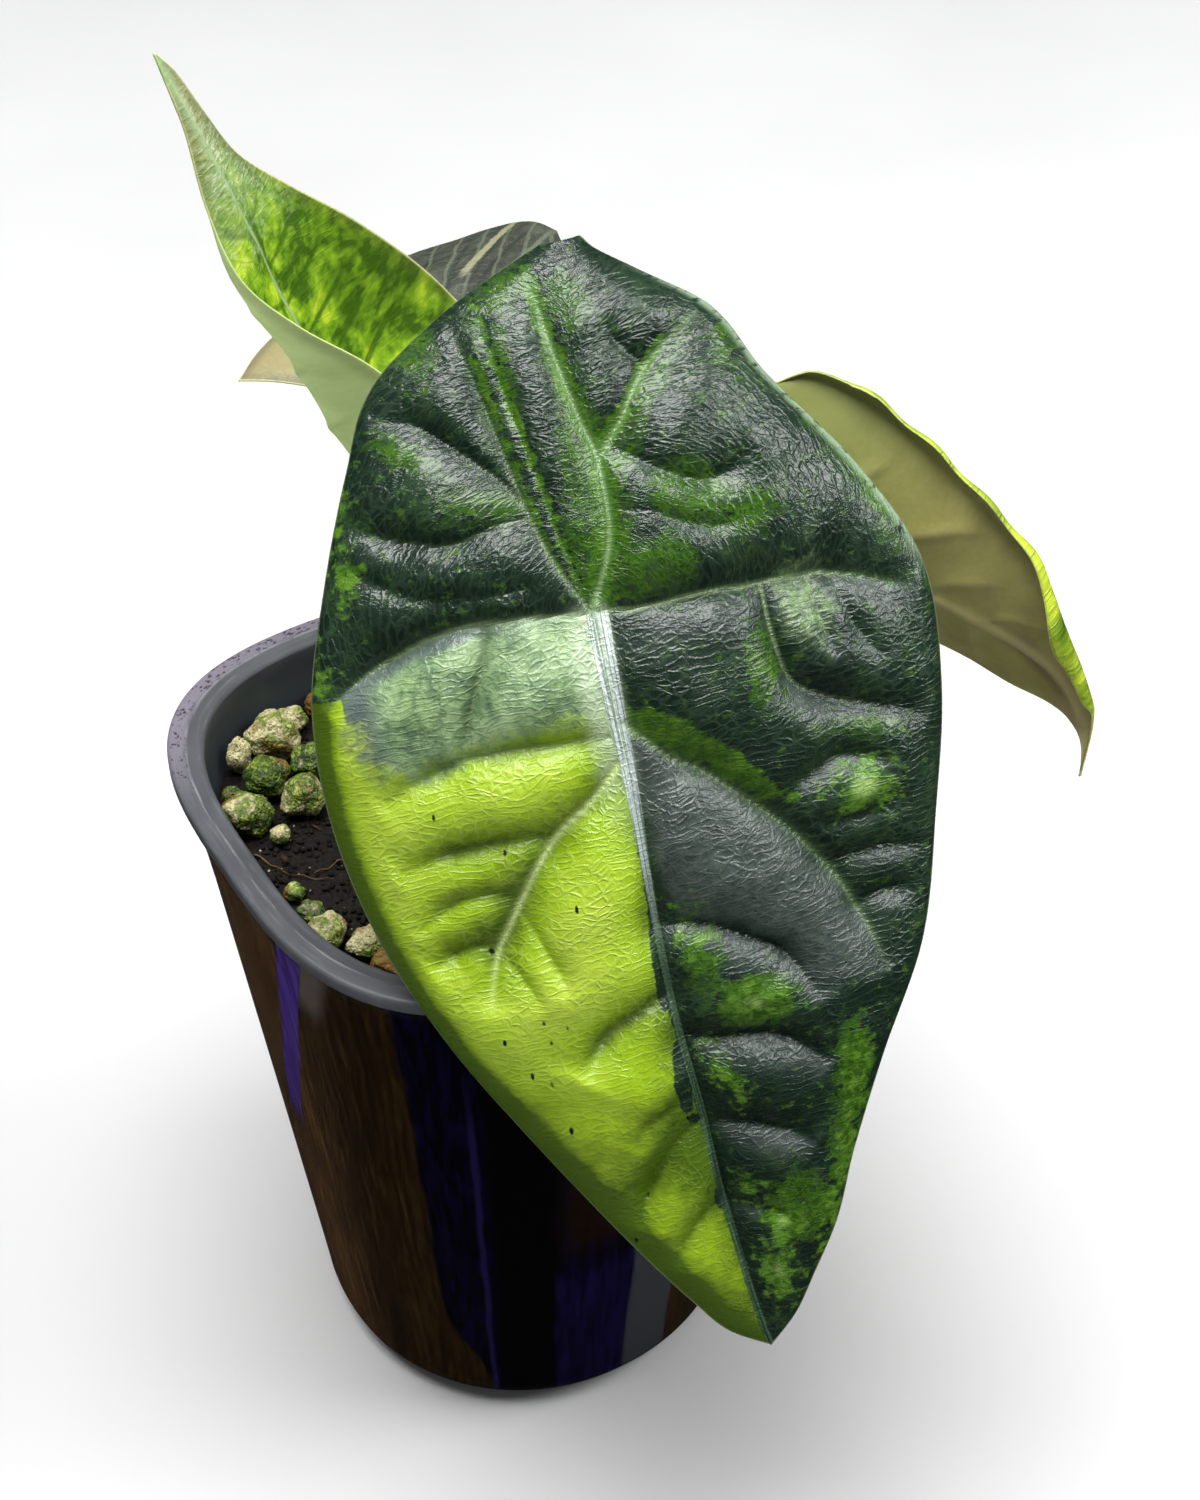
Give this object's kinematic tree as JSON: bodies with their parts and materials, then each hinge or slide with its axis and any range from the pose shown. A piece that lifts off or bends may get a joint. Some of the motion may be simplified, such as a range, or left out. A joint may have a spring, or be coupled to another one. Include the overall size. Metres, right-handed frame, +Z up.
{
  "type": "potted maharani alocasia",
  "caption": "Potted peltate-leaved aroid: leathery variegated blades on fleshy stalks, in a lipped grey liner hung in a glossy dark cover pot with pebbles on the mix.",
  "frame": {"origin": "centre of the cover pot's flat foot, on the surface it stands on", "axes": "+Z up; -Y towards the large front leaf; +X to the right seen from that side"},
  "size_m": [0.1464, 0.1647, 0.2346],
  "materials": {
    "cover_gloss": "high gloss, dark brown with streaks of near-black and violet",
    "liner_plastic": "satin grey, slightly dusty",
    "potting_mix": "damp, crumbly, near-black",
    "stem_tissue": "matt, scaly",
    "leaf_stalk": "satin, fleshy",
    "dark_leaf": "leathery half-gloss, dark slate green with a bright lime sector",
    "bright_leaf": "satin, mottled bright green, pale sage underside",
    "olive_leaf": "matt olive underside, lime upper side",
    "dull_leaf": "matt dark grey-green with cream streaks",
    "pebble": "rough, cream and algae green",
    "bark": "rough, fibrous"
  },
  "bodies": {
    "root": {"cover_pot": "cover_gloss", "liner_pot": "liner_plastic", "potting_mix": "potting_mix", "stem_base": "stem_tissue", "front_leaf_stalk": "leaf_stalk", "front_leaf_blade": "dark_leaf", "left_leaf_stalk": "leaf_stalk", "left_leaf_blade": "bright_leaf", "right_leaf_stalk": "leaf_stalk", "right_leaf_blade": "olive_leaf", "back_leaf_stalk": "leaf_stalk", "back_leaf_blade": "dull_leaf", "pebble_01": "pebble", "pebble_02": "pebble", "pebble_03": "pebble", "pebble_04": "pebble", "pebble_05": "pebble", "pebble_06": "pebble", "pebble_07": "pebble", "pebble_08": "pebble", "pebble_09": "pebble", "pebble_10": "pebble", "pebble_11": "pebble", "pebble_12": "pebble", "pebble_13": "pebble", "pebble_14": "pebble", "pebble_15": "pebble", "pebble_16": "pebble", "pebble_17": "pebble", "pebble_18": "pebble", "bark_chip_1": "bark", "bark_chip_2": "bark", "bark_chip_3": "bark"}
  },
  "joints": []
}
